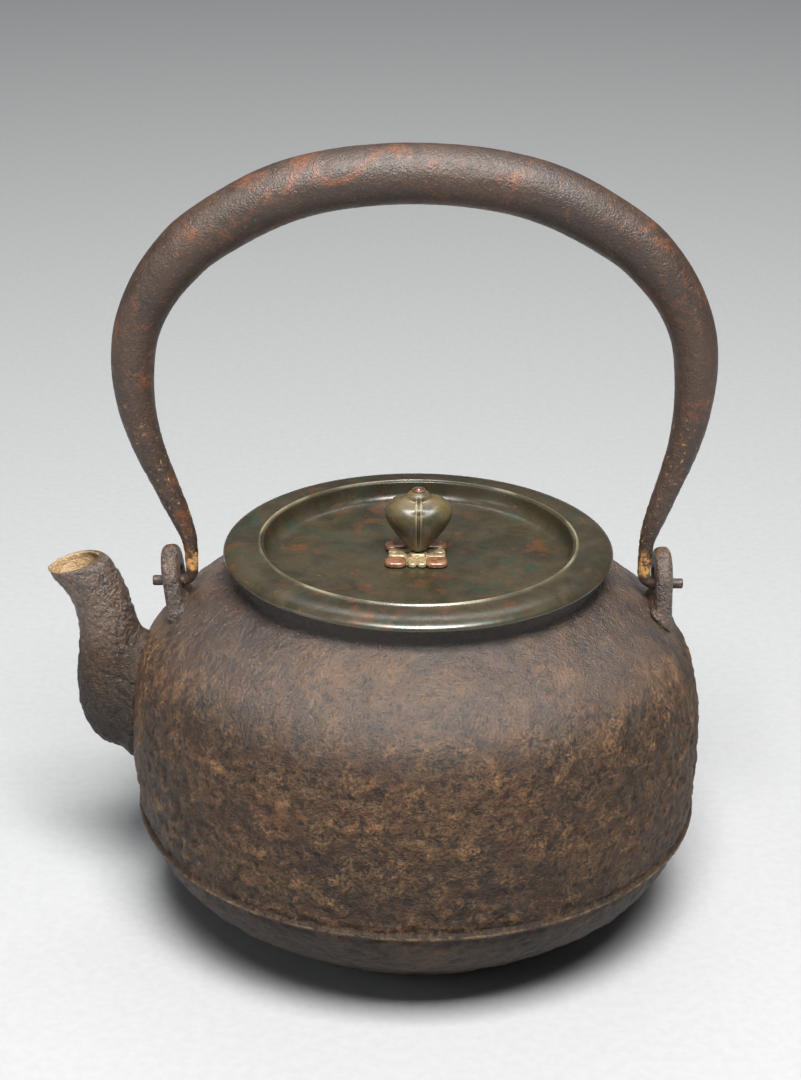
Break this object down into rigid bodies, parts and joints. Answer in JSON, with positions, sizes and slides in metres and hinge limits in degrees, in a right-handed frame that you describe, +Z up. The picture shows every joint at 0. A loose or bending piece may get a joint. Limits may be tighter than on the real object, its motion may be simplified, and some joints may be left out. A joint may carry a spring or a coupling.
{
  "type": "cast iron tea kettle",
  "caption": "Round cast iron water kettle with a spout, a hollow swinging handle and a drop-in bronze lid with a fruit-shaped knob.",
  "frame": {"origin": "centre of the flat underside of the base", "axes": "+Z up, spout towards -X, handle in the XZ plane, Y across"},
  "size_m": [0.1876, 0.165, 0.2252],
  "materials": {
    "cast_iron": "rusty brown cast skin",
    "forged_iron": "smooth brown forged skin",
    "bronze": "olive brown patina, satin",
    "seat_brass": "worn satin",
    "copper": "dark worn copper"
  },
  "bodies": {
    "kettle": {"kettle_body": "cast_iron", "spout": "cast_iron", "spout_ear": "cast_iron", "rear_ear": "cast_iron"},
    "bail": {"bail": "forged_iron"},
    "lid": {"lid": "bronze", "knob_seat": "seat_brass", "knob_pin": "copper", "pin_washer": "copper"},
    "knob": {"knob": "bronze", "knob_ferrule": "copper"}
  },
  "joints": [
    {"name": "bail_swing", "type": "hinge", "parent": "kettle", "child": "bail", "pos_m": [0, 0, 0.09965], "axis": [1, 0, 0], "range_deg": [-94, 94]},
    {"name": "lid_lift", "type": "slide", "parent": "kettle", "child": "lid", "axis": [0, 0, 1], "range_m": [0, 0.07]},
    {"name": "knob_turn", "type": "hinge", "parent": "lid", "child": "knob", "pos_m": [0, 0, 0.118], "axis": [0, 0, 1], "continuous": true}
  ]
}
